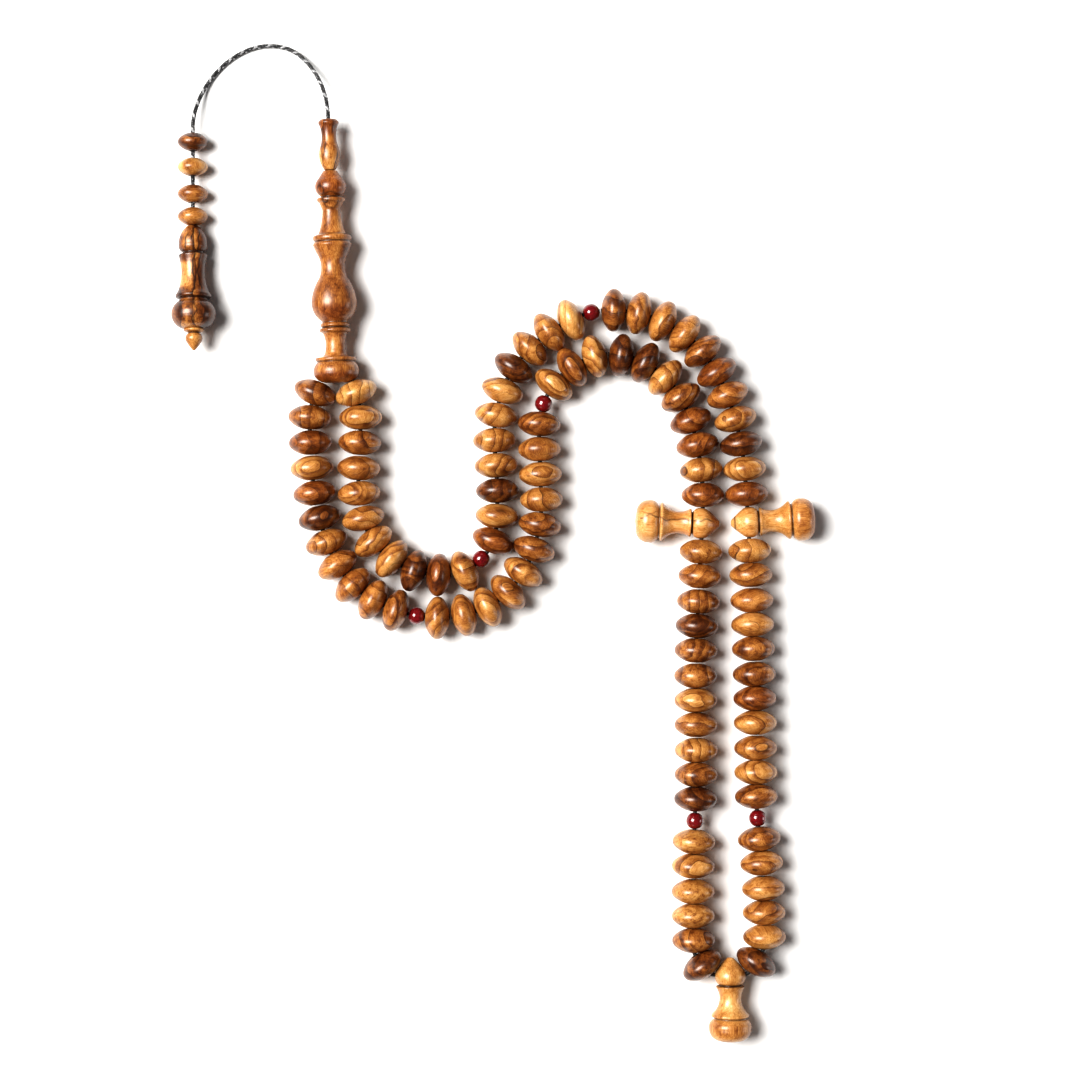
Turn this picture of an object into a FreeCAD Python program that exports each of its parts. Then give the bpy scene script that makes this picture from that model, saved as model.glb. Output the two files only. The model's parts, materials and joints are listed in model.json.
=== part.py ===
import FreeCAD, Part

import math
import os

import Sketcher

# A string of 100 turned olive-wood prayer beads, laid out on a table as a doubled string.
# Both ends of the string come together in the imam, the tall turned bead at the top left.
# The middle of the string carries the end marker, at the bottom right.
# X is right, Y is away from the reader, Z is up from the table. Lengths are in millimetres.

Vector = FreeCAD.Vector
document = FreeCAD.newDocument("PrayerBeads")

DRIVING_DIMENSIONS = (
    ("bead_length", 5.8),
    ("bead_radius", 5.15),
    ("bead_bore", 0.95),
    ("red_length", 4.0),
    ("red_radius", 2.06),
    ("red_bore", 0.75),
    ("counter_length", 4.2),
    ("counter_radius", 3.6),
    ("counter_bore", 1.0),
    ("marker_length", 20.3),
    ("marker_radius", 5.1),
    ("marker_bore", 0.75),
    ("marker_bore_depth", 4.15),
    ("marker_width_at_bore", 7.3),
    ("imam_length", 50.8),
    ("imam_radius", 5.47),
    ("imam_bore", 1.25),
    ("imam_branch_bore", 1.0),
    ("cap_length", 12.2),
    ("cap_radius", 2.5),
    ("cap_bore", 0.9),
    ("tassel_length", 25.0),
    ("tassel_radius", 5.35),
    ("tassel_bore", 0.9),
    ("tassel_chamber", 1.9),
    ("finial_length", 7.4),
    ("finial_radius", 2.4),
    ("thread_radius", 0.5),
    ("cord_radius", 0.55),
    ("strand_knot_radius", 1.2),
    ("tassel_knot_radius", 1.5),
    ("left_loop_gap", 0.255),
    ("right_loop_gap", 0.265),
    ("left_run_gap", 0.07),
    ("right_run_gap", 0.015),
    ("bend_gap", 0.3),
    ("curved_bend_gap", 0.62),
    ("lean_gap", 0.75),
    ("red_gap", 0.2),
    ("marker_gap", 0.25),
)

sizes = document.addObject("Spreadsheet::Sheet", "Sizes")
for row, (alias, value) in enumerate(DRIVING_DIMENSIONS, start=1):
    sizes.set(f"A{row}", alias)
    sizes.set(f"B{row}", str(value))
    sizes.setAlias(f"B{row}", alias)
document.recompute()


def size(alias):
    """The value of a driving dimension in its cell."""
    return float(sizes.get(alias))


# ---------------------------------------------------------------- turned outlines
# An outline runs around half of the piece's section, as (radius, height) stations at its nominal size.
# Two numbers are a straight line to that station. Four are an arc through the first pair to the second.

BEAD_OUTLINE = (
    (0.95, 0.0),
    (1.25, 0.0),
    (3.32, 0.69, 4.66, 1.68),
    (5.15, 2.9, 4.66, 4.12),
    (3.32, 5.11, 1.25, 5.8),
    (0.95, 5.8),
)
RED_OUTLINE = (
    (0.75, 0.12),
    (1.53, 0.59, 2.06, 1.8),
    (2.06, 2.2),
    (1.53, 3.41, 0.75, 3.88),
)
COUNTER_OUTLINE = (
    (1.0, 0.0),
    (1.25, 0.0),
    (2.42, 0.53, 3.24, 1.18),
    (3.6, 2.1, 3.24, 3.02),
    (2.42, 3.67, 1.25, 4.2),
    (1.0, 4.2),
)
MARKER_OUTLINE = (
    (0.0, 0.0),
    (0.65, 0.0),
    (0.9, 0.25),
    (2.05, 1.45, 3.0, 2.6),
    (3.7, 4.5, 3.05, 6.3),
    (2.6, 6.45),
    (2.6, 6.75),
    (3.42, 6.85),
    (3.38, 7.2),
    (2.6, 10.1, 4.05, 13.2),
    (4.6, 13.8),
    (4.5, 14.2),
    (3.85, 14.4),
    (3.85, 14.75),
    (4.75, 15.4, 5.1, 16.9),
    (4.5, 18.9, 2.4, 20.0),
    (0.0, 20.3),
)
IMAM_OUTLINE = (
    (0.0, 0.0),
    (2.0, 0.0),
    (4.3, 0.6, 5.35, 1.75),
    (5.47, 2.75),
    (5.2, 3.9, 4.6, 4.75),
    (4.45, 5.0),
    (4.9, 5.45, 4.75, 6.0),
    (2.9, 6.5, 2.5, 7.6),
    (2.35, 9.8, 2.95, 11.9),
    (3.55, 12.15),
    (3.72, 12.55, 3.5, 12.95),
    (2.95, 13.2),
    (3.45, 13.5),
    (3.5, 13.9),
    (2.95, 14.4),
    (3.05, 14.7),
    (4.8, 16.6, 5.44, 19.5),
    (4.75, 22.5, 3.48, 25.0),
    (2.88, 27.4, 3.9, 31.2),
    (4.72, 33.1),
    (4.3, 33.6),
    (4.3, 34.0),
    (4.66, 34.3),
    (4.6, 35.1),
    (3.3, 35.6),
    (2.5, 38.3, 2.15, 41.4),
    (2.8, 43.1),
    (3.35, 43.5),
    (3.35, 44.2),
    (2.3, 44.4),
    (2.5, 44.75),
    (3.7, 46.7, 2.9, 48.9),
    (1.65, 50.8),
    (1.25, 50.8),
    (1.25, 6.2),
    (0.0, 5.5),
)
CAP_OUTLINE = (
    (0.9, 0.0),
    (1.3, 0.0),
    (2.5, 3.5, 2.0, 6.2),
    (1.75, 8.3, 2.15, 10.6),
    (2.5, 11.3),
    (2.45, 11.6),
    (1.9, 12.2),
    (0.9, 12.2),
)
TASSEL_OUTLINE = (
    (0.9, 0.0),
    (1.3, 0.0),
    (2.9, 2.0, 3.4, 4.6),
    (3.2, 5.8, 2.5, 6.4),
    (2.5, 6.75),
    (3.48, 7.1),
    (3.4, 7.45),
    (2.84, 11.5, 3.7, 15.9),
    (4.36, 17.0),
    (4.2, 17.5),
    (3.35, 17.9),
    (3.35, 18.2),
    (5.35, 21.4, 2.5, 25.0),
    (1.0, 25.0),
    (1.0, 23.5),
    (1.9, 22.6),
    (1.9, 19.0),
    (0.9, 18.0),
)
FINIAL_OUTLINE = (
    (0.0, 0.0),
    (1.0, 0.0),
    (1.0, 2.05),
    (2.0, 2.05),
    (2.4, 2.35, 2.0, 2.75),
    (1.24, 3.1),
    (2.05, 4.25, 1.8, 5.2),
    (1.0, 6.45),
    (0.3, 7.25),
    (0.0, 7.4),
)


def bind(sketch, kind, geometry, point, alias, nominal, value):
    """Fixes one coordinate of a sketch point as its share of a driving dimension."""
    constraint = sketch.addConstraint(Sketcher.Constraint(kind, geometry, point, value))
    sketch.setExpression(f"Constraints[{constraint}]", f"Sizes.{alias} * {value} / {nominal}")


def pin_station(sketch, geometry, point, station, piece):
    """Places one corner of an outline from the piece's radius and length cells."""
    radius, height = station
    if radius == 0:
        sketch.addConstraint(Sketcher.Constraint("PointOnObject", geometry, point, -2))
    else:
        bind(sketch, "DistanceX", geometry, point, f"{piece}_radius", size(f"{piece}_radius"), radius)
    if height == 0:
        sketch.addConstraint(Sketcher.Constraint("PointOnObject", geometry, point, -1))
    else:
        bind(sketch, "DistanceY", geometry, point, f"{piece}_length", size(f"{piece}_length"), height)


def counter_clockwise_arc(start, middle, end):
    """The arc through three points as a sketch holds it, and whether it runs from start to end."""
    circle = Part.Arc(start, middle, end).toShape().Curve
    centre = circle.Center
    forward = (middle - start).cross(end - middle).z > 0
    first, last = (start, end) if forward else (end, start)
    from_angle = math.atan2(first.y - centre.y, first.x - centre.x)
    to_angle = math.atan2(last.y - centre.y, last.x - centre.x)
    upright = Part.Circle(centre, Vector(0, 0, 1), circle.Radius)
    return Part.ArcOfCircle(upright, from_angle, to_angle), forward


def turned_body(name, piece, outline):
    """A body turned about its own Z axis: one closed sketch and one revolution."""
    body = document.addObject("PartDesign::Body", name)
    sketch = body.newObject("Sketcher::SketchObject", f"{name}_outline")
    plane = [feature for feature in body.Origin.OriginFeatures if feature.Role == "XZ_Plane"][0]
    sketch.AttachmentSupport = [(plane, "")]
    sketch.MapMode = "FlatFace"
    corners = [Vector(station[-2], station[-1], 0) for station in outline]
    edges = []
    ends = []
    for index, station in enumerate(outline):
        start = corners[index - 1]
        end = corners[index]
        forward = True
        if len(station) == 4:
            edge, forward = counter_clockwise_arc(start, Vector(station[0], station[1], 0), end)
        else:
            edge = Part.LineSegment(start, end)
        edges.append(edge)
        ends.append((1, 2) if forward else (2, 1))
    sketch.addGeometry(edges, False)
    for geometry, edge in enumerate(edges):
        following = (geometry + 1) % len(edges)
        corner = (geometry, ends[geometry][1], following, ends[following][0])
        sketch.addConstraint(Sketcher.Constraint("Coincident", *corner))
        pin_station(sketch, geometry, ends[geometry][1], outline[geometry][-2:], piece)
        if len(outline[geometry]) == 4:
            arc = sketch.addConstraint(Sketcher.Constraint("Radius", geometry, edge.Radius))
            nominal = f"{edge.Radius} / {size(f'{piece}_length')}"
            sketch.setExpression(f"Constraints[{arc}]", f"Sizes.{piece}_length * {nominal}")
    revolution = body.newObject("PartDesign::Revolution", f"{name}_turning")
    revolution.Profile = sketch
    revolution.ReferenceAxis = (sketch, ["V_Axis"])
    revolution.Angle = 360
    body.Tip = revolution
    return body


def drilled(name, body, drills):
    """The body with straight holes drilled through it."""
    tools = document.addObject("Part::Compound", f"{name}_drills")
    tools.Links = drills
    cut = document.addObject("Part::Cut", name)
    cut.Base = body
    cut.Tool = tools
    return cut


def drill(name, alias, start, direction, length):
    """A drill bit of the radius in a cell, in the local frame of the piece that it cuts."""
    bit = document.addObject("Part::Cylinder", name)
    bit.setExpression("Radius", f"Sizes.{alias}")
    bit.Height = length
    bit.Placement = FreeCAD.Placement(start, FreeCAD.Rotation(Vector(0, 0, 1), direction))
    return bit


# ---------------------------------------------------------------- the string's route
# Both routes start inside the imam's neck and end in the end marker's cross bore.

THREAD_HEIGHT = size("bead_radius")
IMAM_HEIGHT = size("imam_radius")
LEFT_ROUTE = (
    (-37.95, 53.4, IMAM_HEIGHT),
    (-43.9, 42.2, THREAD_HEIGHT),
    (-43.5, 30.0, THREAD_HEIGHT),
    (-42.5, 19.0, THREAD_HEIGHT),
    (-39.4, 6.8, THREAD_HEIGHT),
    (-33.1, -2.8, THREAD_HEIGHT),
    (-21.8, -8.6, THREAD_HEIGHT),
    (-9.5, -9.9, THREAD_HEIGHT),
    (2.2, -5.7, THREAD_HEIGHT),
    (9.1, 3.4, THREAD_HEIGHT),
    (12.1, 14.5, THREAD_HEIGHT),
    (11.5, 28.0, THREAD_HEIGHT),
    (11.2, 40.0, THREAD_HEIGHT),
    (15.8, 48.7, THREAD_HEIGHT),
    (25.5, 54.4, THREAD_HEIGHT),
    (36.3, 52.8, THREAD_HEIGHT),
    (44.6, 45.7, THREAD_HEIGHT),
    (49.0, 34.8, THREAD_HEIGHT),
    (50.8, 22.0, THREAD_HEIGHT),
    (50.0, 2.0, THREAD_HEIGHT),
    (48.8, -18.0, THREAD_HEIGHT),
    (49.1, -48.0, THREAD_HEIGHT),
    (48.2, -70.0, THREAD_HEIGHT),
    (48.4, -87.6, THREAD_HEIGHT),
    (48.45, -89.8, THREAD_HEIGHT),
    (51.6, -94.5, THREAD_HEIGHT),
    (52.9, -95.05, THREAD_HEIGHT),
    (57.2, -95.05, THREAD_HEIGHT),
)
RIGHT_ROUTE = (
    (-36.85, 53.4, IMAM_HEIGHT),
    (-31.3, 42.2, THREAD_HEIGHT),
    (-31.7, 32.0, THREAD_HEIGHT),
    (-32.2, 20.0, THREAD_HEIGHT),
    (-29.6, 9.1, THREAD_HEIGHT),
    (-20.0, 1.5, THREAD_HEIGHT),
    (-7.2, 0.4, THREAD_HEIGHT),
    (0.7, 7.7, THREAD_HEIGHT),
    (1.5, 19.0, THREAD_HEIGHT),
    (0.3, 38.0, THREAD_HEIGHT),
    (4.0, 49.8, THREAD_HEIGHT),
    (13.0, 59.3, THREAD_HEIGHT),
    (25.0, 64.8, THREAD_HEIGHT),
    (37.0, 63.8, THREAD_HEIGHT),
    (48.4, 57.9, THREAD_HEIGHT),
    (56.0, 46.5, THREAD_HEIGHT),
    (60.1, 32.5, THREAD_HEIGHT),
    (61.3, 18.0, THREAD_HEIGHT),
    (62.2, 0.0, THREAD_HEIGHT),
    (63.2, -30.0, THREAD_HEIGHT),
    (63.4, -55.0, THREAD_HEIGHT),
    (65.2, -73.0, THREAD_HEIGHT),
    (65.4, -86.2, THREAD_HEIGHT),
    (65.45, -88.55, THREAD_HEIGHT),
    (62.4, -93.65, THREAD_HEIGHT),
    (61.2, -95.0, THREAD_HEIGHT),
    (57.2, -95.05, THREAD_HEIGHT),
)
ARC_SHARE = 0.45
SHORTEST_EDGE = 1e-6


def rounded_route(points):
    """Straight runs joined by tangent arcs, as large as the runs allow, and the arcs' radii."""
    corners = [Vector(*point) for point in points]
    edges = []
    radii = []
    start = corners[0]
    for before, corner, after in zip(corners, corners[1:], corners[2:]):
        inward = (corner - before).normalize()
        outward = (after - corner).normalize()
        half_turn = inward.getAngle(outward) / 2
        reach = ARC_SHARE * min((corner - before).Length, (after - corner).Length)
        radius = reach / math.tan(half_turn)
        inner_side = (outward - inward).normalize()
        middle = corner + inner_side * (radius / math.cos(half_turn) - radius)
        arc_start = corner - inward * reach
        arc_end = corner + outward * reach
        edges.append(Part.LineSegment(start, arc_start).toShape())
        edges.append(Part.Arc(arc_start, middle, arc_end).toShape())
        radii.append(radius)
        start = arc_end
    edges.append(Part.LineSegment(start, corners[-1]).toShape())
    return edges, radii


def station(edges, distance):
    """The point and the direction of travel at a distance along a route."""
    remaining = distance
    for edge in edges[:-1]:
        if remaining <= edge.Length:
            break
        remaining -= edge.Length
    else:
        edge = edges[-1]
    share = remaining / edge.Length
    parameter = edge.FirstParameter + (edge.LastParameter - edge.FirstParameter) * share
    return edge.valueAt(parameter), edge.tangentAt(parameter)


def stretch(edges, first, last):
    """The edges of a route between two distances along it."""
    pieces = []
    travelled = 0.0
    for edge in edges:
        begin = max(first - travelled, 0.0)
        finish = min(last - travelled, edge.Length)
        if finish - begin > SHORTEST_EDGE:
            span = (edge.getParameterByLength(begin), edge.getParameterByLength(finish))
            pieces.append(edge.Curve.toShape(*span))
        travelled += edge.Length
    return pieces


def tube(name, edges, alias):
    """A round tube of the radius in a cell, swept along edges that follow one another."""
    wire = Part.Wire(edges)
    first = edges[0]
    mouth = first.valueAt(first.FirstParameter)
    direction = first.tangentAt(first.FirstParameter)
    section = Part.Wire([Part.Circle(mouth, direction, size(alias)).toShape()])
    solid = wire.makePipeShell([section], True, True)
    expected = math.pi * size(alias) ** 2 * wire.Length
    print(f"{name}: {wire.Length:.1f} mm long, volume {solid.Volume / expected:.4f} of section times length")
    feature = document.addObject("Part::Feature", name)
    feature.Shape = solid
    return feature


# ---------------------------------------------------------------- what is threaded on the string
# Each strand runs from the imam to the end marker. BEND marks a row where the string can fold,
# and CURVED_BEND one that lies on a curve, where neighbouring beads lean together and need more play.
# LEAN is the play before a last bead that leans over against the end marker.

BEND = "bend_gap"
CURVED_BEND = "curved_bend_gap"
LEAN = "lean_gap"
LEFT_FIRST_BEAD = 9.9
RIGHT_FIRST_BEAD = 9.8
LEFT_LOOP = (
    ("beads_left_1_to_3", "bead", 3),
    BEND,
    ("beads_left_4_to_5", "bead", 2),
    BEND,
    ("beads_left_6_to_11", "bead", 6),
    ("red_bead_left_lower", "red", 1),
    ("bead_left_12", "bead", 1),
    CURVED_BEND,
    ("beads_left_13_to_22", "bead", 10),
    ("red_bead_left_upper", "red", 1),
    ("beads_left_23_to_25", "bead", 3),
    CURVED_BEND,
    ("beads_left_26_to_33", "bead", 8),
    ("marker_left", "marker", 1),
)
LEFT_RUN = (
    ("beads_left_34_to_35", "bead", 2),
    BEND,
    ("beads_left_36_to_38", "bead", 3),
    BEND,
    ("beads_left_39_to_41", "bead", 3),
    BEND,
    ("beads_left_42_to_44", "bead", 3),
    ("red_bead_left_end", "red", 1),
    ("beads_left_45_to_46", "bead", 2),
    BEND,
    ("beads_left_47_to_49", "bead", 3),
    LEAN,
    ("bead_left_50", "bead", 1),
)
RIGHT_LOOP = (
    ("beads_right_1_to_3", "bead", 3),
    BEND,
    ("beads_right_4_to_5", "bead", 2),
    BEND,
    ("beads_right_6_to_10", "bead", 5),
    CURVED_BEND,
    ("bead_right_11", "bead", 1),
    ("red_bead_right_lower", "red", 1),
    ("beads_right_12_to_22", "bead", 11),
    ("red_bead_right_upper", "red", 1),
    CURVED_BEND,
    ("beads_right_23_to_33", "bead", 11),
    ("marker_right", "marker", 1),
)
RIGHT_RUN = (
    ("beads_right_34_to_35", "bead", 2),
    BEND,
    ("beads_right_36_to_38", "bead", 3),
    BEND,
    ("beads_right_39_to_41", "bead", 3),
    BEND,
    ("beads_right_42_to_44", "bead", 3),
    ("red_bead_right_end", "red", 1),
    ("beads_right_45_to_46", "bead", 2),
    BEND,
    ("beads_right_47_to_49", "bead", 3),
    LEAN,
    ("bead_right_50", "bead", 1),
)
THREAD_SECTIONS = (
    "threads_below_imam",
    "threads_left_side",
    "threads_left_bend",
    "threads_middle",
    "threads_right_arch",
    "threads_run_1",
    "threads_run_2",
    "threads_run_3",
    "thread_end",
)
UP = Vector(0, 0, 1)


def half_length(kind):
    """Half of the string that a bead, a counter or a marker takes up."""
    if kind == "marker":
        return size("marker_width_at_bore") / 2
    return size(f"{kind}_length") / 2


def gap_between(first, second, play, plain_gap):
    """The free play between two neighbours on the string."""
    gap = size(plain_gap)
    if "red" in (first, second):
        gap = size("red_gap")
    if "marker" in (first, second):
        gap = size("marker_gap")
    return max(gap, size(play)) if play else gap


def threaded(first_distance, parts):
    """Each piece's distance along its route, by node, and the distances of the bends."""
    places = {}
    bends = []
    distance = first_distance
    previous = None
    play = None
    for plain_gap, entries in parts:
        for entry in entries:
            if entry in (BEND, CURVED_BEND, LEAN):
                play = entry
                continue
            node, kind, count = entry
            places[node] = (kind, [])
            for _ in range(count):
                if previous:
                    gap = gap_between(previous, kind, play, plain_gap)
                    distance += half_length(previous) + gap
                    if play in (BEND, CURVED_BEND):
                        bends.append(distance - gap / 2)
                    distance += half_length(kind)
                places[node][1].append(distance)
                previous = kind
                play = None
    return places, bends


def along(edges, distance, length):
    """The placement that centres a turned piece of a length on the route, its axis along the route."""
    point, direction = station(edges, distance)
    return FreeCAD.Placement(point - direction * (length / 2), FreeCAD.Rotation(UP, direction))


def crosswise(point, direction, side):
    """The placement of a marker whose cross bore is on the route, with its knob to one side."""
    knob = direction.cross(UP).normalize() * side
    turn = FreeCAD.Rotation(direction, Vector(), knob, "ZXY")
    return FreeCAD.Placement(point - knob * size("marker_bore_depth"), turn)


def row_of_beads(node, master, placements):
    """One node of identical beads, each a link to the turned bead in its own place."""
    links = []
    for number, placement in enumerate(placements, start=1):
        link = document.addObject("App::Link", f"{node}_link_{number}")
        link.LinkedObject = master
        link.Placement = placement
        links.append(link)
    row = document.addObject("Part::Compound", node)
    row.Links = links
    return row


def turned_marker(name, placement):
    """A marker with a cross bore through its head for the string."""
    body = turned_body(f"{name}_turned", "marker", MARKER_OUTLINE)
    reach = size("marker_radius")
    start = Vector(-reach, 0, size("marker_bore_depth"))
    bit = drill(f"{name}_bit", "marker_bore", start, Vector(1, 0, 0), 2 * reach)
    marker = drilled(name, body, [bit])
    marker.Placement = placement
    return marker


def print_axis(name, point, direction):
    """Reports a joint's centre and axis in millimetres."""
    numbers = [round(value, 3) for value in (*point, *direction)]
    print(f"axis {name} {numbers}")


nodes = []
master_bead = turned_body("bead_pattern", "bead", BEAD_OUTLINE)
left_edges, left_radii = rounded_route(LEFT_ROUTE)
right_edges, right_radii = rounded_route(RIGHT_ROUTE)
left_parts = (("left_loop_gap", LEFT_LOOP), ("left_run_gap", LEFT_RUN))
right_parts = (("right_loop_gap", RIGHT_LOOP), ("right_run_gap", RIGHT_RUN))
strands = (
    ("left", left_edges, threaded(LEFT_FIRST_BEAD, left_parts), 1),
    ("right", right_edges, threaded(RIGHT_FIRST_BEAD, right_parts), -1),
)
for strand, edges, (places, bends), knob_side in strands:
    for node, (kind, distances) in places.items():
        if kind == "bead":
            bead_places = [along(edges, distance, size("bead_length")) for distance in distances]
            nodes.append(row_of_beads(node, master_bead, bead_places))
        elif kind == "red":
            red = turned_body(node, "red", RED_OUTLINE)
            red.Placement = along(edges, distances[0], size("red_length"))
            print_axis(node, *station(edges, distances[0]))
            nodes.append(red)
        else:
            point, direction = station(edges, distances[0])
            print_axis(node, point, direction)
            nodes.append(turned_marker(node, crosswise(point, direction, knob_side)))

# The end marker hangs where the two routes meet.
left_length = sum(edge.Length for edge in left_edges)
right_length = sum(edge.Length for edge in right_edges)
end_point, end_direction = station(left_edges, left_length)
nodes.append(turned_marker("marker_end", crosswise(end_point, end_direction, 1)))
print_axis("marker_end", end_point, end_direction)

# ---------------------------------------------------------------- the string itself
# It is one thread. It is drawn as sections that part by the bend gap at each row that can fold.

first_cut = {
    "left": LEFT_FIRST_BEAD - size("bead_length") / 2 - size("bend_gap") / 2,
    "right": RIGHT_FIRST_BEAD - size("bead_length") / 2 - size("bend_gap") / 2,
}
cuts = {strand: [first_cut[strand], *bends] for strand, _, (_, bends), _ in strands}
half_gap = size("bend_gap") / 2
for index, name in enumerate(THREAD_SECTIONS[:-1]):
    sides = []
    for strand, edges, _, _ in strands:
        span = stretch(edges, cuts[strand][index] + half_gap, cuts[strand][index + 1] - half_gap)
        sides.append(tube(f"{name}_{strand}", span, "thread_radius"))
    both = document.addObject("Part::Compound", name)
    both.Links = sides
    nodes.append(both)
last_left = stretch(left_edges, cuts["left"][-1] + half_gap, left_length)
last_right = stretch(right_edges, cuts["right"][-1] + half_gap, right_length)
returning = [Part.Edge(edge.Curve, edge.FirstParameter, edge.LastParameter) for edge in last_right]
nodes.append(tube(THREAD_SECTIONS[-1], Part.sortEdges(last_left + returning)[0], "thread_radius"))
for index, name in enumerate(THREAD_SECTIONS):
    left_point, _ = station(left_edges, cuts["left"][index])
    right_point, _ = station(right_edges, cuts["right"][index])
    print_axis(f"bend_before_{name}", (left_point + right_point) / 2, (right_point - left_point).normalize())

# ---------------------------------------------------------------- the imam and its cap

IMAM_BASE = Vector(-37.2, 47.04, IMAM_HEIGHT)
IMAM_AXIS = Vector(-0.0322, 0.9995, 0).normalize()
CAP_GAP = 0.12
CORE_CLEARANCE = 0.05
KNOT_LENGTH = 2.4
KNOT_FILLET = 0.5
KNOT_TOP = 50.0
BRANCH_DEPTH = 14.0


def lengthwise(base, direction):
    """The placement that stands a turned piece's own Z axis along a direction."""
    sideways = direction.cross(UP).normalize()
    return FreeCAD.Placement(base, FreeCAD.Rotation(sideways, Vector(), direction, "ZXY"))


imam_placement = lengthwise(IMAM_BASE, IMAM_AXIS)
to_imam = imam_placement.inverse()
branch_bits = []
for strand, route in (("left", LEFT_ROUTE), ("right", RIGHT_ROUTE)):
    junction = to_imam.multVec(Vector(*route[0]))
    outside = to_imam.multVec(Vector(*route[1]))
    outward = (outside - junction).normalize()
    branch_bits.append(drill(f"imam_bit_{strand}", "imam_branch_bore", junction, outward, BRANCH_DEPTH))
imam = drilled("imam_body", turned_body("imam_turned", "imam", IMAM_OUTLINE), branch_bits)
imam.Placement = imam_placement
nodes.append(imam)

knot_bottom = IMAM_BASE + IMAM_AXIS * (KNOT_TOP - KNOT_LENGTH)
knot_barrel = document.addObject("Part::Cylinder", "strand_knot_barrel")
knot_barrel.setExpression("Radius", "Sizes.strand_knot_radius")
knot_barrel.Height = KNOT_LENGTH
knot_barrel.Placement = lengthwise(knot_bottom, IMAM_AXIS)
document.recompute()
strand_knot = document.addObject("Part::Fillet", "strand_knot")
strand_knot.Base = knot_barrel
barrel_edges = enumerate(knot_barrel.Shape.Edges, start=1)
rims = [number for number, edge in barrel_edges if edge.Closed and len(edge.Vertexes) == 1]
strand_knot.Edges = [(rim, KNOT_FILLET, KNOT_FILLET) for rim in rims]
nodes.append(strand_knot)

imam_threads = []
for strand, route, edges in (("left", LEFT_ROUTE, left_edges), ("right", RIGHT_ROUTE, right_edges)):
    mouth, _ = station(edges, cuts[strand][0] - half_gap)
    junction = Vector(*route[0])
    thread_offset = (junction - IMAM_BASE).dot(IMAM_AXIS.cross(UP))
    top = knot_bottom + IMAM_AXIS.cross(UP) * thread_offset
    inner, _ = rounded_route([tuple(mouth), tuple(junction), tuple(top)])
    imam_threads.append(tube(f"imam_thread_{strand}", inner, "thread_radius"))
threads_in_imam = document.addObject("Part::Compound", "threads_in_imam")
threads_in_imam.Links = imam_threads
nodes.append(threads_in_imam)

cap = turned_body("imam_cap", "cap", CAP_OUTLINE)
cap.Placement = lengthwise(IMAM_BASE + IMAM_AXIS * (size("imam_length") + CAP_GAP), IMAM_AXIS)
nodes.append(cap)
cap_mouth = IMAM_BASE + IMAM_AXIS * (size("imam_length") + CAP_GAP + size("cap_length"))
print_axis("imam_cap", cap_mouth, IMAM_AXIS)
core_start = IMAM_BASE + IMAM_AXIS * KNOT_TOP
nodes.append(tube("cord_core", [Part.LineSegment(core_start, cap_mouth).toShape()], "cord_radius"))

# ---------------------------------------------------------------- the tail: cord, counters, tassel
# The cord leaves the cap, comes down to the table, turns back and rises again into the counters.

TABLE_CLEARANCE = 0.01
CORD_ON_TABLE = size("cord_radius") + TABLE_CLEARANCE
CORD_IN_COUNTERS = 3.3
TASSEL_TOP = Vector(-72.0, 84.8, CORD_IN_COUNTERS)
TASSEL_AXIS = Vector(0.021, -0.995, 0.095).normalize()
TASSEL_KNOT_DEPTH = 20.8
CORD_ABOVE_TASSEL = 0.6
FINIAL_PEG = 2.05
COUNTER_HEIGHT = size("counter_radius")
COUNTER_PLACES = (105.0, 98.95, 92.5, 87.05)
COUNTER_X = -71.95
TAIL_ROUTE = (
    tuple(cap_mouth + IMAM_AXIS * CORE_CLEARANCE),
    (-39.4, 115.4, 5.1),
    (-43.2, 123.2, 2.6),
    (-48.8, 128.2, 0.8),
    (-56.5, 128.8, CORD_ON_TABLE),
    (-64.0, 125.1, CORD_ON_TABLE),
    (-69.4, 118.8, 0.8),
    (-71.95, 111.5, 3.3),
    (-71.95, 105.5, 3.55),
    tuple(TASSEL_TOP + Vector(0, CORD_ABOVE_TASSEL, 0)),
    tuple(TASSEL_TOP + TASSEL_AXIS * (TASSEL_KNOT_DEPTH - size("tassel_knot_radius"))),
)
tail_edges, tail_radii = rounded_route(TAIL_ROUTE)
print("tail cord radii", [round(radius, 1) for radius in tail_radii])
print("left strand radii", [round(radius, 1) for radius in left_radii])
print("right strand radii", [round(radius, 1) for radius in right_radii])
nodes.append(tube("tail_cord", tail_edges, "cord_radius"))

for number, place in enumerate(COUNTER_PLACES, start=1):
    counter = turned_body(f"counter_bead_{number}", "counter", COUNTER_OUTLINE)
    counter_end = Vector(COUNTER_X, place + size("counter_length") / 2, COUNTER_HEIGHT)
    counter.Placement = lengthwise(counter_end, Vector(0, -1, 0))
    nodes.append(counter)

tassel = turned_body("tassel_body", "tassel", TASSEL_OUTLINE)
tassel.Placement = lengthwise(TASSEL_TOP, TASSEL_AXIS)
nodes.append(tassel)
print_axis("tassel_body", TASSEL_TOP, TASSEL_AXIS)
finial = turned_body("tassel_finial", "finial", FINIAL_OUTLINE)
finial.Placement = lengthwise(TASSEL_TOP + TASSEL_AXIS * (size("tassel_length") - FINIAL_PEG), TASSEL_AXIS)
nodes.append(finial)
tassel_knot = document.addObject("Part::Sphere", "tassel_knot")
tassel_knot.setExpression("Radius", "Sizes.tassel_knot_radius")
tassel_knot.Placement = FreeCAD.Placement(TASSEL_TOP + TASSEL_AXIS * TASSEL_KNOT_DEPTH, FreeCAD.Rotation())
nodes.append(tassel_knot)

document.recompute()
for item in document.Objects:
    if "Invalid" in item.State or "Error" in item.State:
        raise RuntimeError(f"{item.Name} did not recompute: {item.State}")
for node in nodes:
    node.Label = node.Name
    if node.Shape.isNull() or not node.Shape.isValid():
        raise RuntimeError(f"{node.Name} has no valid shape")

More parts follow.
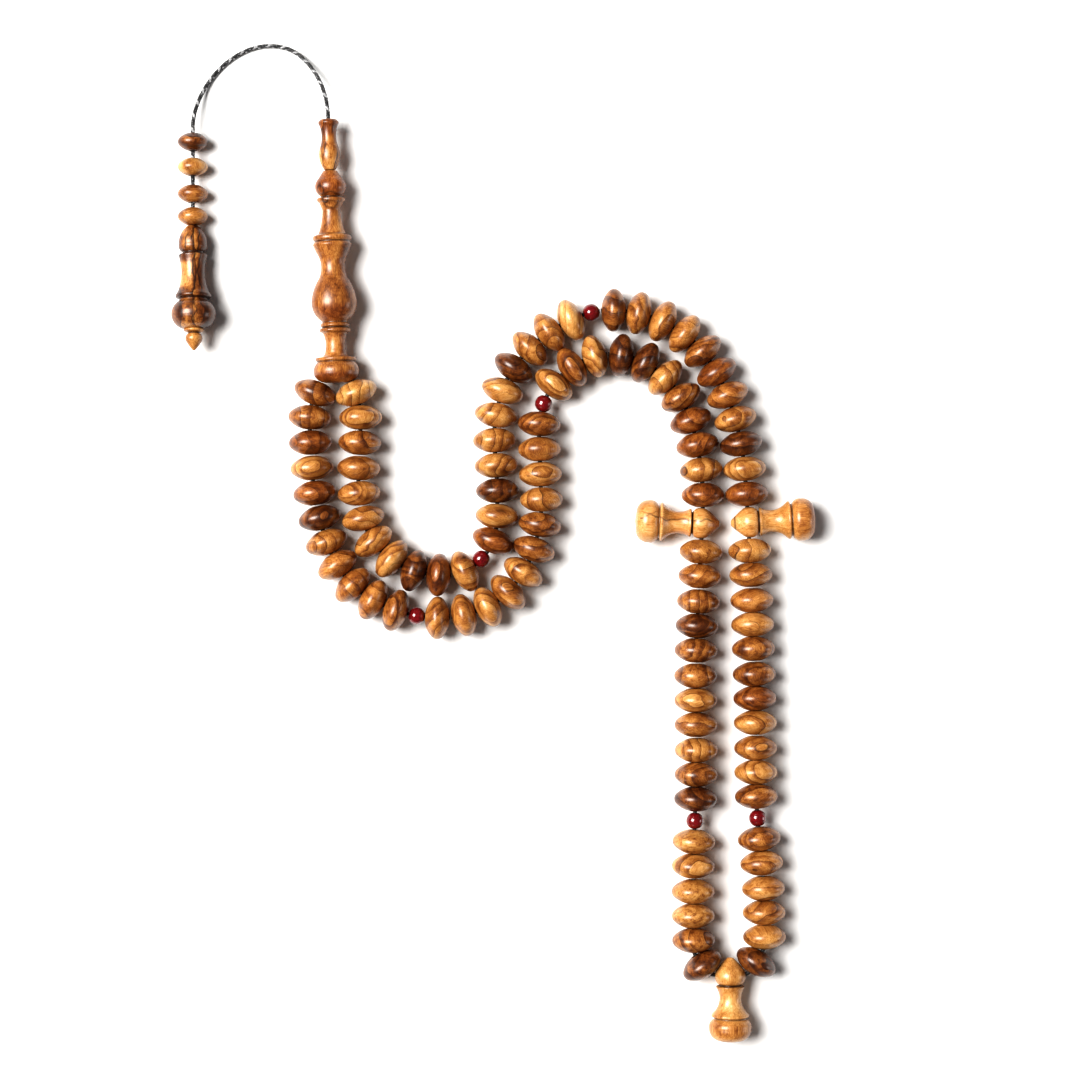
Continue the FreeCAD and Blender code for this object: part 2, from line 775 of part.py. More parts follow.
os.makedirs("parts", exist_ok=True)
for node in nodes:
    node.Shape.exportStep(f"parts/{node.Label}.step")
print(f"{len(nodes)} nodes")
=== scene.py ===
import json
import math

import bmesh
import bpy
import numpy as np
from mathutils import Matrix, Vector


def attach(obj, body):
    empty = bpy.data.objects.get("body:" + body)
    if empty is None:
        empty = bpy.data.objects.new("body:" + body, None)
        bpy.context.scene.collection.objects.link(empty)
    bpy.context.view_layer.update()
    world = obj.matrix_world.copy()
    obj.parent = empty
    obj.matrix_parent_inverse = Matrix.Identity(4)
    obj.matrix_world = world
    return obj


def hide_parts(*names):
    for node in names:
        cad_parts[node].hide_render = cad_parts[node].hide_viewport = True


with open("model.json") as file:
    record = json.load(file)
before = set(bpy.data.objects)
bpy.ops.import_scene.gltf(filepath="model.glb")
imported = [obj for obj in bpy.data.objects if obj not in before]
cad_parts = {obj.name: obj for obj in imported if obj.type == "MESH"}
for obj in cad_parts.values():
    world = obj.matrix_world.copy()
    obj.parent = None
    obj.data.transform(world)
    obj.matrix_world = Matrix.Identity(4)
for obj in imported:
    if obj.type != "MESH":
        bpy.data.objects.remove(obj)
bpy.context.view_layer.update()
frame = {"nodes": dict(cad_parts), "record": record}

# A string of turned olive-wood prayer beads, looked at from straight above. Outlines and the marks in
# the wood are in millimetres, and MM takes them to metres. All else is in metres and the frame's axes.
MM = 0.001
UP = Vector((0, 0, 1))
shuffle = np.random.default_rng(23)


# ---------------------------------------------------------------- turned shapes

BEAD_OUTLINE = (
    (0.95, 0.12),
    (1.25, 0.0),
    (3.32, 0.69, 4.66, 1.68),
    (5.15, 2.9, 4.66, 4.12),
    (3.32, 5.11, 1.25, 5.8),
    (0.95, 5.68),
)
RED_OUTLINE = (
    (0.75, 0.12),
    (1.53, 0.59, 2.06, 1.8),
    (2.06, 2.2),
    (1.53, 3.41, 0.75, 3.88),
)
COUNTER_OUTLINE = (
    (1.0, 0.0),
    (1.25, 0.0),
    (2.42, 0.53, 3.24, 1.18),
    (3.6, 2.1, 3.24, 3.02),
    (2.42, 3.67, 1.25, 4.2),
    (1.0, 4.2),
)
MARKER_OUTLINE = (
    (0.0, 0.0),
    (0.65, 0.0),
    (0.9, 0.25),
    (2.05, 1.45, 3.0, 2.6),
    (3.7, 4.5, 3.05, 6.3),
    (2.6, 6.45),
    (2.6, 6.75),
    (3.42, 6.85),
    (3.38, 7.2),
    (2.6, 10.1, 4.05, 13.2),
    (4.6, 13.8),
    (4.5, 14.2),
    (3.85, 14.4),
    (3.85, 14.75),
    (4.75, 15.4, 5.1, 16.9),
    (4.5, 18.9, 2.4, 20.0),
    (0.0, 20.3),
)
IMAM_OUTLINE = (
    (0.0, 0.0),
    (2.0, 0.0),
    (4.3, 0.6, 5.35, 1.75),
    (5.47, 2.75),
    (5.2, 3.9, 4.6, 4.75),
    (4.45, 5.0),
    (4.9, 5.45, 4.75, 6.0),
    (2.9, 6.5, 2.5, 7.6),
    (2.35, 9.8, 2.95, 11.9),
    (3.55, 12.15),
    (3.72, 12.55, 3.5, 12.95),
    (2.95, 13.2),
    (3.45, 13.5),
    (3.5, 13.9),
    (2.95, 14.4),
    (3.05, 14.7),
    (4.8, 16.6, 5.44, 19.5),
    (4.75, 22.5, 3.48, 25.0),
    (2.88, 27.4, 3.9, 31.2),
    (4.72, 33.1),
    (4.3, 33.6),
    (4.3, 34.0),
    (4.66, 34.3),
    (4.6, 35.1),
    (3.3, 35.6),
    (2.5, 38.3, 2.15, 41.4),
    (2.8, 43.1),
    (3.35, 43.5),
    (3.35, 44.2),
    (2.3, 44.4),
    (2.5, 44.75),
    (3.7, 46.7, 2.9, 48.9),
    (1.65, 50.8),
    (1.25, 50.8),
    (1.25, 6.2),
    (0.0, 5.5),
)
CAP_OUTLINE = (
    (0.9, 0.0),
    (1.3, 0.0),
    (2.5, 3.5, 2.0, 6.2),
    (1.75, 8.3, 2.15, 10.6),
    (2.5, 11.3),
    (2.45, 11.6),
    (1.9, 12.2),
    (0.9, 12.2),
)
TASSEL_OUTLINE = (
    (0.9, 0.0),
    (1.3, 0.0),
    (2.9, 2.0, 3.4, 4.6),
    (3.2, 5.8, 2.5, 6.4),
    (2.5, 6.75),
    (3.48, 7.1),
    (3.4, 7.45),
    (2.84, 11.5, 3.7, 15.9),
    (4.36, 17.0),
    (4.2, 17.5),
    (3.35, 17.9),
    (3.35, 18.2),
    (5.35, 21.4, 2.5, 25.0),
    (1.0, 25.0),
    (1.0, 23.5),
    (1.9, 22.6),
    (1.9, 19.0),
    (0.9, 18.0),
)
FINIAL_OUTLINE = (
    (0.0, 0.0),
    (1.0, 0.0),
    (1.0, 2.05),
    (2.0, 2.05),
    (2.4, 2.35, 2.0, 2.75),
    (1.24, 3.1),
    (2.05, 4.25, 1.8, 5.2),
    (1.0, 6.45),
    (0.3, 7.25),
    (0.0, 7.4),
)
ARC_STEPS = 10
SHARP_COSINE = -0.94
CORNER_CUTS = (0.14, 0.05)
LARGEST_CUT = 0.4


def circle_centre(a, b, c):
    """The centre of the circle through three points in the complex plane."""
    first = b - a
    second = c - a
    area = 2 * (first.conjugate() * second).imag
    return a + 1j * (first * abs(second) ** 2 - second * abs(first) ** 2) / area


def turn_between(first, second):
    """The counter-clockwise turn from one direction to another, from 0 to a full circle."""
    return float(np.angle(second / first)) % (2 * math.pi)


def arc_points(start, middle, end):
    """Points along the arc from start to end through middle, without start itself."""
    a, b, c = (complex(*point) for point in (start, middle, end))
    centre = circle_centre(a, b, c)
    whole_turn = turn_between(a - centre, c - centre)
    if turn_between(a - centre, b - centre) > whole_turn:
        whole_turn -= 2 * math.pi
    turns = [whole_turn * step / ARC_STEPS for step in range(1, ARC_STEPS + 1)]
    spots = [centre + (a - centre) * np.exp(1j * turn) for turn in turns]
    return [(float(spot.real), float(spot.imag)) for spot in spots]


def corners_eased(points, cut):
    """The outline with each sharp corner replaced by a short flat, so that its edge catches the light."""
    eased = [points[0]]
    for before, corner, after in zip(points, points[1:], points[2:]):
        back = np.subtract(before, corner)
        ahead = np.subtract(after, corner)
        lengths = (np.hypot(*back), np.hypot(*ahead))
        cosine = np.dot(back, ahead) / (lengths[0] * lengths[1])
        if cosine < SHARP_COSINE:
            eased.append(corner)
            continue
        for direction, length in ((back, lengths[0]), (ahead, lengths[1])):
            eased.append(tuple(np.add(corner, direction * min(cut / length, LARGEST_CUT))))
    return eased + [points[-1]]


def outline_points(outline):
    """The outline as a row of close points, its arcs divided and its corners eased."""
    points = [outline[0]]
    for station in outline[1:]:
        if len(station) == 4:
            points += arc_points(points[-1], station[:2], station[2:])
        else:
            points.append(station)
    for cut in CORNER_CUTS:
        points = corners_eased(points, cut)
    return points


def divided(points, longest):
    """A row of points with more put between any two that are far apart."""
    finer = [points[0]]
    for start, end in zip(points, points[1:]):
        steps = max(1, math.ceil(math.dist(start, end) / longest))
        run = np.subtract(end, start)
        finer += [tuple(np.add(start, run * step / steps)) for step in range(1, steps + 1)]
    return finer


def turned(outline, segments, longest=math.inf):
    """The points and faces of an outline turned about Z, in millimetres."""
    points = divided(outline_points(outline), longest)
    angles = np.arange(segments) * 2 * math.pi / segments
    rings = []
    corners = []
    for radius, height in points:
        count = 1 if radius == 0 else segments
        rings.append(np.arange(count) + len(corners))
        corners += [(radius * math.cos(a), radius * math.sin(a), height) for a in angles[:count]]
    pairs = list(zip(rings, rings[1:]))
    if outline[0][0] > 0:
        pairs.append((rings[-1], rings[0]))
    faces = []
    for low, high in pairs:
        for k in range(segments):
            below = (low[k % len(low)], low[(k + 1) % len(low)])
            above = (high[(k + 1) % len(high)], high[k % len(high)])
            faces.append(list(dict.fromkeys(int(corner) for corner in below + above)))
    return np.array(corners), faces


# ---------------------------------------------------------------- where the CAD holds each piece
# LENS and SPINDLE say which of a solid's three axes it was turned on: its shortest or its longest.

LENS = 0
SPINDLE = 2
WELD = 1e-6


def solids_of(node):
    """Each separate solid in a CAD node, in the order that they were made."""
    shell = bmesh.new()
    shell.from_mesh(frame["nodes"][node].data)
    bmesh.ops.remove_doubles(shell, verts=shell.verts, dist=WELD)
    shell.faces.ensure_lookup_table()
    solids = []
    seen = set()
    for start in shell.faces:
        if start.index in seen:
            continue
        seen.add(start.index)
        solid = []
        waiting = [start]
        while waiting:
            face = waiting.pop()
            solid.append(face)
            for corner in face.verts:
                for other in corner.link_faces:
                    if other.index not in seen:
                        seen.add(other.index)
                        waiting.append(other)
        solids.append(Solid(solid))
    shell.free()
    return solids


class Solid:
    """The middle and the turning axis of a turned solid, worked out from its faces."""

    def __init__(self, faces):
        centres = np.array([face.calc_center_median() for face in faces])
        areas = np.array([face.calc_area() for face in faces])
        self.corners = np.array([corner.co for face in faces for corner in face.verts])
        self.middle = np.average(centres, axis=0, weights=areas)
        self.axes = np.linalg.eigh(np.cov((centres - self.middle).T, aweights=areas))[1]

    def placed(self, which, towards):
        """The matrix that stands a turned piece on the solid's own axis, with its base at the far end."""
        axis = Vector(self.axes[:, which])
        if axis.dot(Vector(towards)) < 0:
            axis.negate()
        reach = (self.corners - self.middle) @ np.array(axis)
        base = Vector(self.middle) + axis * float(reach.min())
        sideways = axis.cross(UP).normalized()
        turn = Matrix((sideways, axis.cross(sideways), axis)).transposed()
        return Matrix.Translation(base) @ turn.to_4x4()


# ---------------------------------------------------------------- making pieces
# A bead's figure is the direction across its growth rings, in its own axes: X crosswise, Y up, Z its bore.
# SPINDLE_CUT holds the axes of a spindle's wood: across the rings, along them, and along the fibre.

SHARP_ANGLE = 38
LENS_SEGMENTS = 56
BALL_SEGMENTS = 48
SPINDLE_SEGMENTS = 120
SPINDLE_STEP = 0.35
TOWARDS_READER = (0.3, -1, 0)
FIGURES = {"v": (1, 0, 0), "o": (0.15, 1, 0.1), "h": (0, 0.25, 1)}
FIGURE_TILT = 0.22
SPINDLE_CUT = np.array(((0.92, 0.39, 0.0), (-0.39, 0.92, 0.0), (0.0, 0.0, 1.0)))
FIBRE_REACH = 400
PLATEAU = 1.6
SEAM_WANDERS = ((5, 0.9), (2.5, 2.3))
EYE_LINE = 0.32


def shown(name, mesh, body, nodes, material):
    """Links a mesh as a smooth piece that stands for CAD nodes and rides on their body."""
    piece = bpy.data.objects.new(name, mesh)
    bpy.context.scene.collection.objects.link(piece)
    mesh.materials.append(material)
    mesh.polygons.foreach_set("use_smooth", [True] * len(mesh.polygons))
    mesh.set_sharp_from_angle(angle=math.radians(SHARP_ANGLE))
    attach(piece, body)
    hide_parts(*nodes)
    return piece


def body_of(node):
    """The name of the CAD body that holds a node."""
    bodies = frame["record"]["behaviour"]["bodies"]
    return next(body for body, members in bodies.items() if node in members)


def spin_axis(name):
    """The axis of one of the record's joints: a ball's own faces don't show which way its bore runs."""
    joints = frame["record"]["behaviour"]["joints"]
    return next(joint["axis"] for joint in joints if joint["name"] == name)


def joined(shapes, name):
    """One mesh of several turned shapes, each a list of (points, faces) already in their places."""
    corners = np.vstack([points for points, _ in shapes])
    faces = []
    first = 0
    for points, loops in shapes:
        faces += [[first + corner for corner in loop] for loop in loops]
        first += len(points)
    mesh = bpy.data.meshes.new(name)
    mesh.from_pydata(corners.tolist(), [], faces)
    return mesh


def moved(points, matrix):
    """Points in a piece's own millimetres, taken to the frame's metres by its placement."""
    turn = np.array(matrix.to_3x3())
    return points * MM @ turn.T + np.array(matrix.translation)


def add_attribute(mesh, name, kind, field, values):
    """Stores one value for each of a mesh's points."""
    attribute = mesh.attributes.new(name, kind, "POINT")
    attribute.data.foreach_set(field, np.asarray(values, dtype=np.float32).ravel())


def billet(figure):
    """How a piece was cut from its billet: rows are across the rings, along them, and along the fibre."""
    if figure == "n":
        across = shuffle.normal(size=3)
    else:
        across = np.array(FIGURES[figure]) + shuffle.normal(scale=FIGURE_TILT, size=3)
    across /= np.linalg.norm(across)
    fibre = np.cross(across, shuffle.normal(size=3))
    fibre /= np.linalg.norm(fibre)
    return np.array((across, np.cross(fibre, across), fibre))


def grained(points, figure):
    """The points' places in the billet, in millimetres from its pith."""
    distance = shuffle.uniform(9, 26)
    shift = np.array((distance, shuffle.uniform(-3, 3), shuffle.uniform(-FIBRE_REACH, FIBRE_REACH)))
    return (points @ billet(figure).T) * shuffle.uniform(0.8, 1.5) + shift


# A bead's wood is its lightness, the strength of its lines, its redness and its mottling. Each bead is
# written as its wood and its figure, and the figure "n" is cut at random.
WOODS = {
    "d": (0.35, 1.0, 0.3, 1.0),
    "r": (0.46, 0.7, 0.7, 0.7),
    "m": (0.53, 0.9, 0.3, 0.8),
    "o": (0.58, 0.6, 0.4, 0.5),
    "g": (0.62, 0.8, 0.2, 0.5),
    "l": (0.68, 0.9, 0.1, 0.3),
    "p": (0.755, 0.9, 0.0, 0.3),
    "b": (0.66, 0.3, 0.0, 1.0),
}
LEFT_BEADS = (
    "mv mv rn lo rn dn gn on on on mn gn gn lo gn gn mh mh ln ln go mo lo mo ln dv dv lv mo rn "
    "rn lv rn bn on mv dn mn mv lo gn lv mn dh bo lo bo bn mn do"
).split()
RIGHT_BEADS = (
    "pv lo mv gn gn ln ln ln dv ro ln rn lo dv ln lv lv ln dn gn gn pn mv gn gn gn mh rh on gn "
    "dh lo rn lv gn oh go mo mo rn ln go lo mo mn gn gh gh lh dn"
).split()


def lens_row(node, outline, woods, material):
    """One CAD node of beads, each turned on its own axis and cut from its own piece of wood."""
    shape, faces = turned(outline, LENS_SEGMENTS)
    shapes = []
    grain = []
    looks = []
    for solid, wood in zip(solids_of(node), woods, strict=True):
        shapes.append((moved(shape, solid.placed(LENS, TOWARDS_READER)), faces))
        grain.append(grained(shape - (0, 0, shape[:, 2].mean()), wood[1]))
        looks.append(np.tile(WOODS[wood[0]], (len(shape), 1)))
    mesh = joined(shapes, f"{node}_turned")
    add_attribute(mesh, "grain", "FLOAT_VECTOR", "vector", np.vstack(grain))
    add_attribute(mesh, "wood", "FLOAT_COLOR", "color", np.vstack(looks))
    shown(f"{node}_turned", mesh, body_of(node), [node], material)


def near(value, middle, reach):
    """How near values are to a middle: 1 there and fading smoothly to 0 a reach away."""
    share = np.clip(PLATEAU - PLATEAU * np.abs(value - middle) / reach, 0, 1)
    return share * share * (3 - 2 * share)


def spindle(node, outline, towards, wood, material, pith, burns_and_shade=(), stains=(), seams=(), eyes=()):
    """A long turned piece whose wood runs along it, with what marks that wood.

    burns are (height, reach, strength) dark rings in the grooves and at the joins, partly burnt lines and
    partly painted shade; stains are (height, reach, bearing, spread, change of lightness, change of redness)
    patches; seams are (bearing, width, start, end, strength) dark lines along the piece; eyes are (height,
    bearing, radius, strength) knots. Bearings are degrees from the side that faces up, and millimetres are
    measured from the piece's base."""
    shape, faces = turned(outline, SPINDLE_SEGMENTS, SPINDLE_STEP)
    placing = solids_of(node)[0].placed(SPINDLE, towards)
    mesh = joined([(moved(shape, placing), faces)], f"{node}_turned")
    x, y, height = shape.T
    bearing = np.degrees(np.arctan2(x, -y))
    radius = np.hypot(x, y)
    shift = (pith, 0, shuffle.uniform(-FIBRE_REACH, FIBRE_REACH))
    add_attribute(mesh, "grain", "FLOAT_VECTOR", "vector", shape @ SPINDLE_CUT.T + shift)
    look = np.tile(wood, (len(shape), 1))
    for middle, reach, side, spread, lightness, redness in stains:
        share = near(height, middle, reach) * near(bearing, side, spread)
        look[:, 0] += lightness * share
        look[:, 2] += redness * share
    add_attribute(mesh, "wood", "FLOAT_COLOR", "color", np.clip(look, 0, 1))
    dark = np.zeros(len(shape))
    # Dark rings in the grooves and at the joins: partly burnt lines, partly painted shade.
    for middle, reach, strength in burns_and_shade:
        dark = np.maximum(dark, strength * near(height, middle, reach))
    for side, width, start, end, strength in seams:
        (wide, slow), (narrow, quick) = SEAM_WANDERS
        drift = side + wide * np.sin(height * slow + side) + narrow * np.sin(height * quick)
        across = np.radians(bearing - drift) * radius
        along = np.clip((height - start) * 2, 0, 1) * np.clip((end - height) * 2, 0, 1)
        dark = np.maximum(dark, strength * along * near(across, 0, width))
    for middle, side, size, strength in eyes:
        away = np.hypot(height - middle, np.radians(bearing - side) * radius)
        outer_ring = near(away, size, EYE_LINE)
        heart = near(away, 0.0, size / 2) / 2
        dark = np.maximum(dark, strength * np.maximum(outer_ring, heart))
    # The dark marks: burnt lines, seams and knots, with the painted shade in the grooves and at the joins.
    add_attribute(mesh, "marks_and_shade", "FLOAT", "value", dark)
    shown(f"{node}_turned", mesh, body_of(node), [node], material)


# ---------------------------------------------------------------- materials

OLIVE_TONES = (
    (0.0, (0.042, 0.010, 0.0025)),
    (0.25, (0.110, 0.034, 0.008)),
    (0.45, (0.250, 0.092, 0.021)),
    (0.62, (0.440, 0.200, 0.052)),
    (0.8, (0.650, 0.355, 0.122)),
    (1.0, (0.83, 0.57, 0.285)),
)
RING_COLOUR = (0.034, 0.010, 0.0035)
# The dark of the groove rings, seams and knots; in the grooves it is partly painted shade.
MARK_AND_SHADE_COLOUR = (0.028, 0.010, 0.005)
RED_TINT = (1.0, 0.80, 0.72)
WANDER = 4.5
CLOUD_STRENGTH = 0.75
STREAK_STRENGTH = 0.78
BLOTCH_STRENGTH = 0.26
PORE_STRENGTH = 0.6
WOOD_RELIEF = 0.00003
YARN_RELIEF = 0.00005


def new_tree(name):
    """An empty node material with its output and Principled shader."""
    material = bpy.data.materials.new(name)
    material.use_nodes = True
    tree = material.node_tree
    tree.nodes.clear()
    output = tree.nodes.new("ShaderNodeOutputMaterial")
    shader = tree.nodes.new("ShaderNodeBsdfPrincipled")
    tree.links.new(shader.outputs["BSDF"], output.inputs["Surface"])
    return material, tree, shader


def add(tree, kind, inputs, **settings):
    """A node with its settings, and its inputs as values or as other nodes' outputs."""
    node = tree.nodes.new(kind)
    for name, value in settings.items():
        setattr(node, name, value)
    for name, value in inputs.items():
        if isinstance(value, bpy.types.NodeSocket):
            tree.links.new(value, node.inputs[name])
        else:
            node.inputs[name].default_value = value
    return node


def maths(tree, operation, first, second=0.0, clamp=False):
    """The result of one sum on two numbers."""
    return add(tree, "ShaderNodeMath", {0: first, 1: second}, operation=operation, use_clamp=clamp).outputs[0]


def faded(tree, value, low, high, start=0.0, end=1.0):
    """A value taken smoothly from one range to another."""
    inputs = {"Value": value, "From Min": low, "From Max": high, "To Min": start, "To Max": end}
    return add(tree, "ShaderNodeMapRange", inputs, interpolation_type="SMOOTHSTEP").outputs[0]


def stretched(tree, vector, scale):
    """A vector with its axes scaled apart."""
    return add(tree, "ShaderNodeVectorMath", {0: vector, 1: scale}, operation="MULTIPLY").outputs[0]


def noise(tree, vector, scale, detail=3.0, roughness=0.5):
    """Soft noise from 0 to 1."""
    inputs = {"Vector": vector, "Scale": scale, "Detail": detail, "Roughness": roughness}
    return add(tree, "ShaderNodeTexNoise", inputs)


def blended(tree, amount, first, second, mode="MIX"):
    """Two colours mixed."""
    node = add(tree, "ShaderNodeMix", {0: amount}, data_type="RGBA", blend_type=mode, clamp_factor=True)
    for slot, value in ((6, first), (7, second)):
        if isinstance(value, bpy.types.NodeSocket):
            tree.links.new(value, node.inputs[slot])
        else:
            node.inputs[slot].default_value = (*value, 1)
    return node.outputs[2]


def ramp(tree, value, stops):
    """A colour ramp from (position, colour) stops."""
    node = add(tree, "ShaderNodeValToRGB", {"Fac": value})
    elements = node.color_ramp.elements
    while len(elements) < len(stops):
        elements.new(0.5)
    for element, (position, colour) in zip(elements, stops):
        element.position = position
        element.color = (*colour, 1)
    return node.outputs["Color"]


def olive_wood(name, ring_rate, line_width, faintest, line_strength, shade_strength):
    """Varnished olive wood: dark ring lines of uneven strength, soft bands, blotches, fibre and pores.

    ring_rate is rings per millimetre, line_width is a line's share of the ring, and faintest is how much
    of the strongest line the weakest one has."""
    material, tree, shader = new_tree(name)
    grain = add(tree, "ShaderNodeAttribute", {}, attribute_name="grain").outputs["Vector"]
    wood = add(tree, "ShaderNodeAttribute", {}, attribute_name="wood")
    channels = add(tree, "ShaderNodeSeparateColor", {"Color": wood.outputs["Color"]}).outputs
    lightness, lines, redness = channels["Red"], channels["Green"], channels["Blue"]
    mottling = wood.outputs["Alpha"]

    wander = noise(tree, stretched(tree, grain, (0.2, 0.2, 0.05)), 1.0, 1.0)
    sides = {0: wander.outputs["Color"], 1: (0.5, 0.5, 0.5)}
    centred = add(tree, "ShaderNodeVectorMath", sides, operation="SUBTRACT")
    shift = stretched(tree, centred.outputs[0], (WANDER, WANDER, 0.0))
    bent = add(tree, "ShaderNodeVectorMath", {0: grain, 1: shift}, operation="ADD").outputs[0]
    flat = stretched(tree, bent, (1.0, 1.0, 0.0))
    from_pith = add(tree, "ShaderNodeVectorMath", {0: flat}, operation="LENGTH").outputs["Value"]
    rings = maths(tree, "MULTIPLY", from_pith, ring_rate)
    within = maths(tree, "FRACT", rings)
    number = maths(tree, "FLOOR", rings)
    chance = add(tree, "ShaderNodeTexWhiteNoise", {"W": number}, noise_dimensions="1D").outputs["Value"]
    strength = faded(tree, chance, 0.2, 0.75, faintest, 1.0)
    edge = faded(tree, within, 0.0, line_width, 1.0, 0.0)
    rise = faded(tree, within, 1 - line_width * 0.35, 1.0)
    line = maths(tree, "MULTIPLY", maths(tree, "MAXIMUM", edge, rise), strength)
    broken = faded(tree, noise(tree, grain, 0.55, 2.0).outputs["Fac"], 0.3, 0.5, 0.6, 1.0)
    line = maths(tree, "MULTIPLY", line, maths(tree, "MULTIPLY", broken, lines))
    shade = maths(tree, "MULTIPLY", faded(tree, within, 0.0, 0.7, 1.0, 0.0), strength)
    shade = maths(tree, "MULTIPLY", shade, maths(tree, "MULTIPLY", lines, shade_strength))

    cloud = noise(tree, stretched(tree, grain, (0.3, 0.3, 0.12)), 1.0, 3.0).outputs["Fac"]
    cloud = maths(tree, "MULTIPLY", maths(tree, "SUBTRACT", cloud, 0.5), CLOUD_STRENGTH)
    fibre = noise(tree, stretched(tree, grain, (4.5, 4.5, 0.35)), 1.0, 4.0, 0.6).outputs["Fac"]
    streak = maths(tree, "MULTIPLY", maths(tree, "SUBTRACT", fibre, 0.5), STREAK_STRENGTH)
    blotch = noise(tree, grain, 0.9, 4.0, 0.65).outputs["Fac"]
    blotchy = maths(tree, "MULTIPLY", mottling, BLOTCH_STRENGTH)
    blotch = maths(tree, "MULTIPLY", faded(tree, blotch, 0.48, 0.7), blotchy)
    tone = maths(tree, "ADD", lightness, maths(tree, "ADD", cloud, streak))
    tone = maths(tree, "SUBTRACT", tone, maths(tree, "ADD", shade, blotch), clamp=True)
    colour = ramp(tree, tone, OLIVE_TONES)
    colour = blended(tree, redness, colour, RED_TINT, "MULTIPLY")
    colour = blended(tree, maths(tree, "MULTIPLY", line, line_strength), colour, RING_COLOUR)
    pores = noise(tree, stretched(tree, grain, (7.0, 7.0, 1.6)), 1.0, 2.0).outputs["Fac"]
    pores = faded(tree, pores, 0.66, 0.76)
    colour = blended(tree, maths(tree, "MULTIPLY", pores, PORE_STRENGTH), colour, RING_COLOUR)
    # Dark rings in the grooves and at the joins, partly burnt lines and partly painted shade, with seams and
    # knots.
    marks_and_shade = add(tree, "ShaderNodeAttribute", {}, attribute_name="marks_and_shade").outputs["Fac"]
    colour = blended(tree, marks_and_shade, colour, MARK_AND_SHADE_COLOUR)
    tree.links.new(colour, shader.inputs["Base Color"])

    dull = maths(tree, "ADD", 0.30, maths(tree, "MULTIPLY", fibre, 0.12))
    tree.links.new(dull, shader.inputs["Roughness"])
    relief = maths(tree, "SUBTRACT", maths(tree, "MULTIPLY", fibre, 0.4), pores)
    bump = add(tree, "ShaderNodeBump", {"Strength": 0.25, "Distance": WOOD_RELIEF, "Height": relief})
    tree.links.new(bump.outputs["Normal"], shader.inputs["Normal"])
    shader.inputs["IOR"].default_value = 1.5
    shader.inputs["Coat Weight"].default_value = 0.35
    shader.inputs["Coat Roughness"].default_value = 0.26
    return material


def red_resin():
    """Deep glossy crimson with a faint darker speckle."""
    material, tree, shader = new_tree("red_resin")
    place = add(tree, "ShaderNodeTexCoord", {}).outputs["Object"]
    speckle = noise(tree, place, 2600, 3.0, 0.6).outputs["Fac"]
    cloud = noise(tree, place, 500, 2.0).outputs["Fac"]
    colour = ramp(tree, speckle, ((0.35, (0.06, 0.003, 0.004)), (0.62, (0.20, 0.008, 0.012))))
    colour = blended(tree, maths(tree, "MULTIPLY", cloud, 0.5), colour, (0.24, 0.02, 0.022))
    tree.links.new(colour, shader.inputs["Base Color"])
    tree.links.new(faded(tree, cloud, 0.3, 0.7, 0.12, 0.22), shader.inputs["Roughness"])
    bump = add(tree, "ShaderNodeBump", {"Strength": 0.15, "Distance": WOOD_RELIEF, "Height": speckle})
    tree.links.new(bump.outputs["Normal"], shader.inputs["Normal"])
    shader.inputs["Coat Weight"].default_value = 0.6
    shader.inputs["Coat Roughness"].default_value = 0.08
    return material


def braid(name, dark, fleck, share):
    """Twisted fibres in a braided yarn, most of them dark and a share of them bright."""
    material, tree, shader = new_tree(name)
    place = add(tree, "ShaderNodeTexCoord", {}).outputs["Object"]
    fine = noise(tree, place, 9000, 3.0, 0.6).outputs["Fac"]
    coarse = noise(tree, place, 3200, 2.0).outputs["Fac"]
    bright = faded(tree, coarse, 1 - share, 1 - share + 0.06)
    colour = blended(tree, bright, dark, fleck)
    colour = blended(tree, maths(tree, "MULTIPLY", fine, 0.5), colour, (0.0, 0.0, 0.0))
    tree.links.new(colour, shader.inputs["Base Color"])
    tree.links.new(faded(tree, fine, 0.3, 0.7, 0.45, 0.7), shader.inputs["Roughness"])
    bump = add(tree, "ShaderNodeBump", {"Strength": 0.6, "Distance": YARN_RELIEF, "Height": fine})
    tree.links.new(bump.outputs["Normal"], shader.inputs["Normal"])
    shader.inputs["Sheen Weight"].default_value = 0.3
    return material


# ---------------------------------------------------------------- the braided tail cord

CORD_WIDTH = 0.0011
CORD_ROUTE = (
    (-0.03923, 0.11018, 0.00547),
    (-0.03940, 0.11540, 0.00510),
    (-0.04320, 0.12320, 0.00260),
    (-0.04880, 0.12820, 0.00080),
    (-0.05650, 0.12880, 0.00056),
    (-0.06400, 0.12510, 0.00056),
    (-0.06940, 0.11880, 0.00080),
    (-0.07195, 0.11150, 0.00330),
    (-0.07195, 0.10550, 0.00355),
    (-0.07200, 0.08540, 0.00330),
    (-0.07160, 0.06560, 0.00515),
)
BRAID_PITCH = 0.0034
STRAND_STEPS = 760
STRAND_SIDES = 8
STRANDS_EACH_WAY = 4
SILVER_YARNS = (0, 5)
WEAVE_TURNS = 4
YARN_OFFSET = 0.31
YARN_WEAVE = 0.055
YARN_HALF_WIDTH = 0.21
YARN_HALF_DEPTH = 0.125


def spline_points(route):
    """The points of the NURBS line that a route's given points control."""
    curve = bpy.data.curves.new("cord_line", "CURVE")
    curve.dimensions = "3D"
    spline = curve.splines.new("NURBS")
    spline.points.add(len(route) - 1)
    for point, place in zip(spline.points, route):
        point.co = (*place, 1)
    spline.order_u = 3
    spline.use_endpoint_u = True
    spline.resolution_u = 24
    line = bpy.data.objects.new("cord_line", curve)
    mesh = bpy.data.meshes.new_from_object(line)
    points = np.array([corner.co for corner in mesh.vertices])
    bpy.data.objects.remove(line)
    bpy.data.meshes.remove(mesh)
    return points


def evenly(points, count):
    """A line's points again, at even distances."""
    lengths = np.concatenate(([0], np.cumsum(np.linalg.norm(np.diff(points, axis=0), axis=1))))
    spots = np.linspace(0, lengths[-1], count)
    return spots, np.stack([np.interp(spots, lengths, points[:, k]) for k in range(3)], axis=1)


